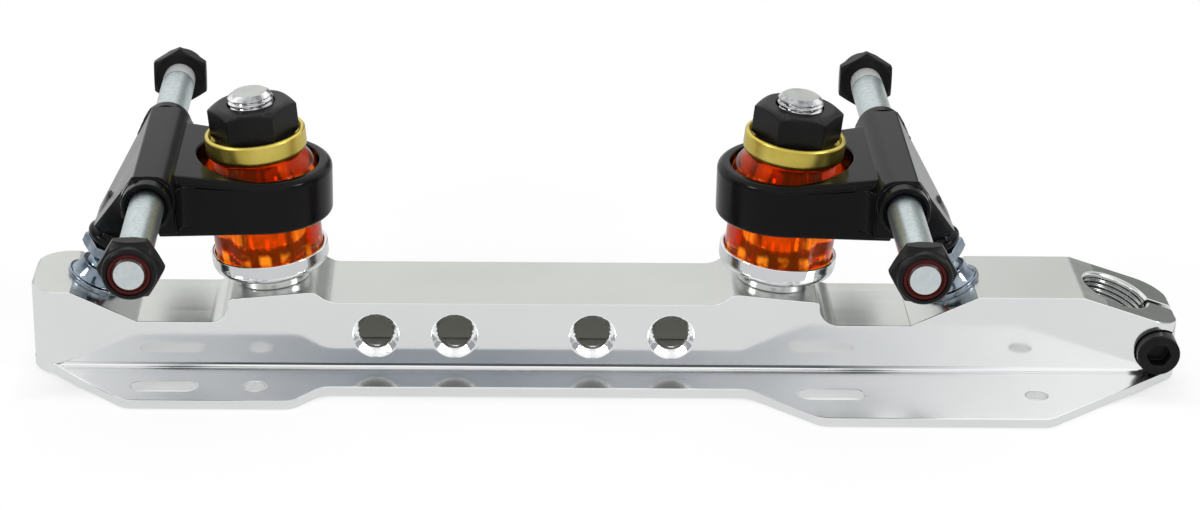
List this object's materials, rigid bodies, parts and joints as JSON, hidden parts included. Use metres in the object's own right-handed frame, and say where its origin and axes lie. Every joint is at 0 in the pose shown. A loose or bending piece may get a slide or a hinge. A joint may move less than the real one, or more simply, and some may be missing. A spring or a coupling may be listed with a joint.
{
  "type": "roller skate plate",
  "caption": "Polished aluminium quad roller skate plate with two sprung steering trucks on leaning kingpins, cushions, ball pivots, wheel axles and a split toe stop hole.",
  "frame": {"origin": "middle of the boot face, half way along the plate and on its middle line", "axes": "+X to the toe, +Y to the plate's left with the toe ahead and the trucks up, +Z away from the boot"},
  "size_m": [0.2706, 0.126, 0.0679],
  "materials": {
    "plate": "mirror polished walls, satin tops",
    "toe_clamp_screw": "black oxide",
    "front_kingpin": "bright turned, threaded",
    "front_lower_cup": "polished chrome",
    "front_lower_cushion": "clear orange-red urethane",
    "front_upper_cushion": "clear orange-red urethane",
    "front_upper_washer": "yellow passivated, bright",
    "front_kingpin_nut": "black oxide",
    "front_ball_socket": "bright blue-white zinc",
    "front_hanger": "black anodised, smooth",
    "front_axle": "satin blue-white zinc",
    "front_axle_nuts": "black oxide",
    "front_lock_rings": "dark red nylon",
    "front_ball_stud": "bright blue-white zinc",
    "front_jam_nut": "bright blue-white zinc",
    "rear_kingpin": "bright turned, threaded",
    "rear_lower_cup": "polished chrome",
    "rear_lower_cushion": "clear orange-red urethane",
    "rear_upper_cushion": "clear orange-red urethane",
    "rear_upper_washer": "yellow passivated, bright",
    "rear_kingpin_nut": "black oxide",
    "rear_ball_socket": "bright blue-white zinc",
    "rear_hanger": "black anodised, smooth",
    "rear_axle": "satin blue-white zinc",
    "rear_axle_nuts": "black oxide",
    "rear_lock_rings": "dark red nylon",
    "rear_ball_stud": "bright blue-white zinc",
    "rear_jam_nut": "bright blue-white zinc"
  },
  "bodies": {
    "plate": {"plate": "plate", "toe_clamp_screw": "toe_clamp_screw", "front_kingpin": "front_kingpin", "front_lower_cup": "front_lower_cup", "front_lower_cushion": "front_lower_cushion", "front_upper_cushion": "front_upper_cushion", "front_upper_washer": "front_upper_washer", "front_kingpin_nut": "front_kingpin_nut", "front_ball_socket": "front_ball_socket", "rear_kingpin": "rear_kingpin", "rear_lower_cup": "rear_lower_cup", "rear_lower_cushion": "rear_lower_cushion", "rear_upper_cushion": "rear_upper_cushion", "rear_upper_washer": "rear_upper_washer", "rear_kingpin_nut": "rear_kingpin_nut", "rear_ball_socket": "rear_ball_socket"},
    "front_truck": {"front_hanger": "front_hanger", "front_axle": "front_axle", "front_axle_nuts": "front_axle_nuts", "front_lock_rings": "front_lock_rings", "front_ball_stud": "front_ball_stud", "front_jam_nut": "front_jam_nut"},
    "rear_truck": {"rear_hanger": "rear_hanger", "rear_axle": "rear_axle", "rear_axle_nuts": "rear_axle_nuts", "rear_lock_rings": "rear_lock_rings", "rear_ball_stud": "rear_ball_stud", "rear_jam_nut": "rear_jam_nut"}
  },
  "joints": [
    {"name": "front_steer", "type": "hinge", "parent": "plate", "child": "front_truck", "pos_m": [0.081, 0, 0.02195], "axis": [-0.8739, 0, 0.4861], "range_deg": [-10, 10], "stiffness_Nm_per_rad": 60, "deforming": ["front_lower_cushion", "front_upper_cushion"]},
    {"name": "rear_steer", "type": "hinge", "parent": "plate", "child": "rear_truck", "pos_m": [-0.1195, 0, 0.02195], "axis": [0.8739, 0, 0.4861], "range_deg": [-10, 10], "stiffness_Nm_per_rad": 60, "deforming": ["rear_lower_cushion", "rear_upper_cushion"]}
  ]
}
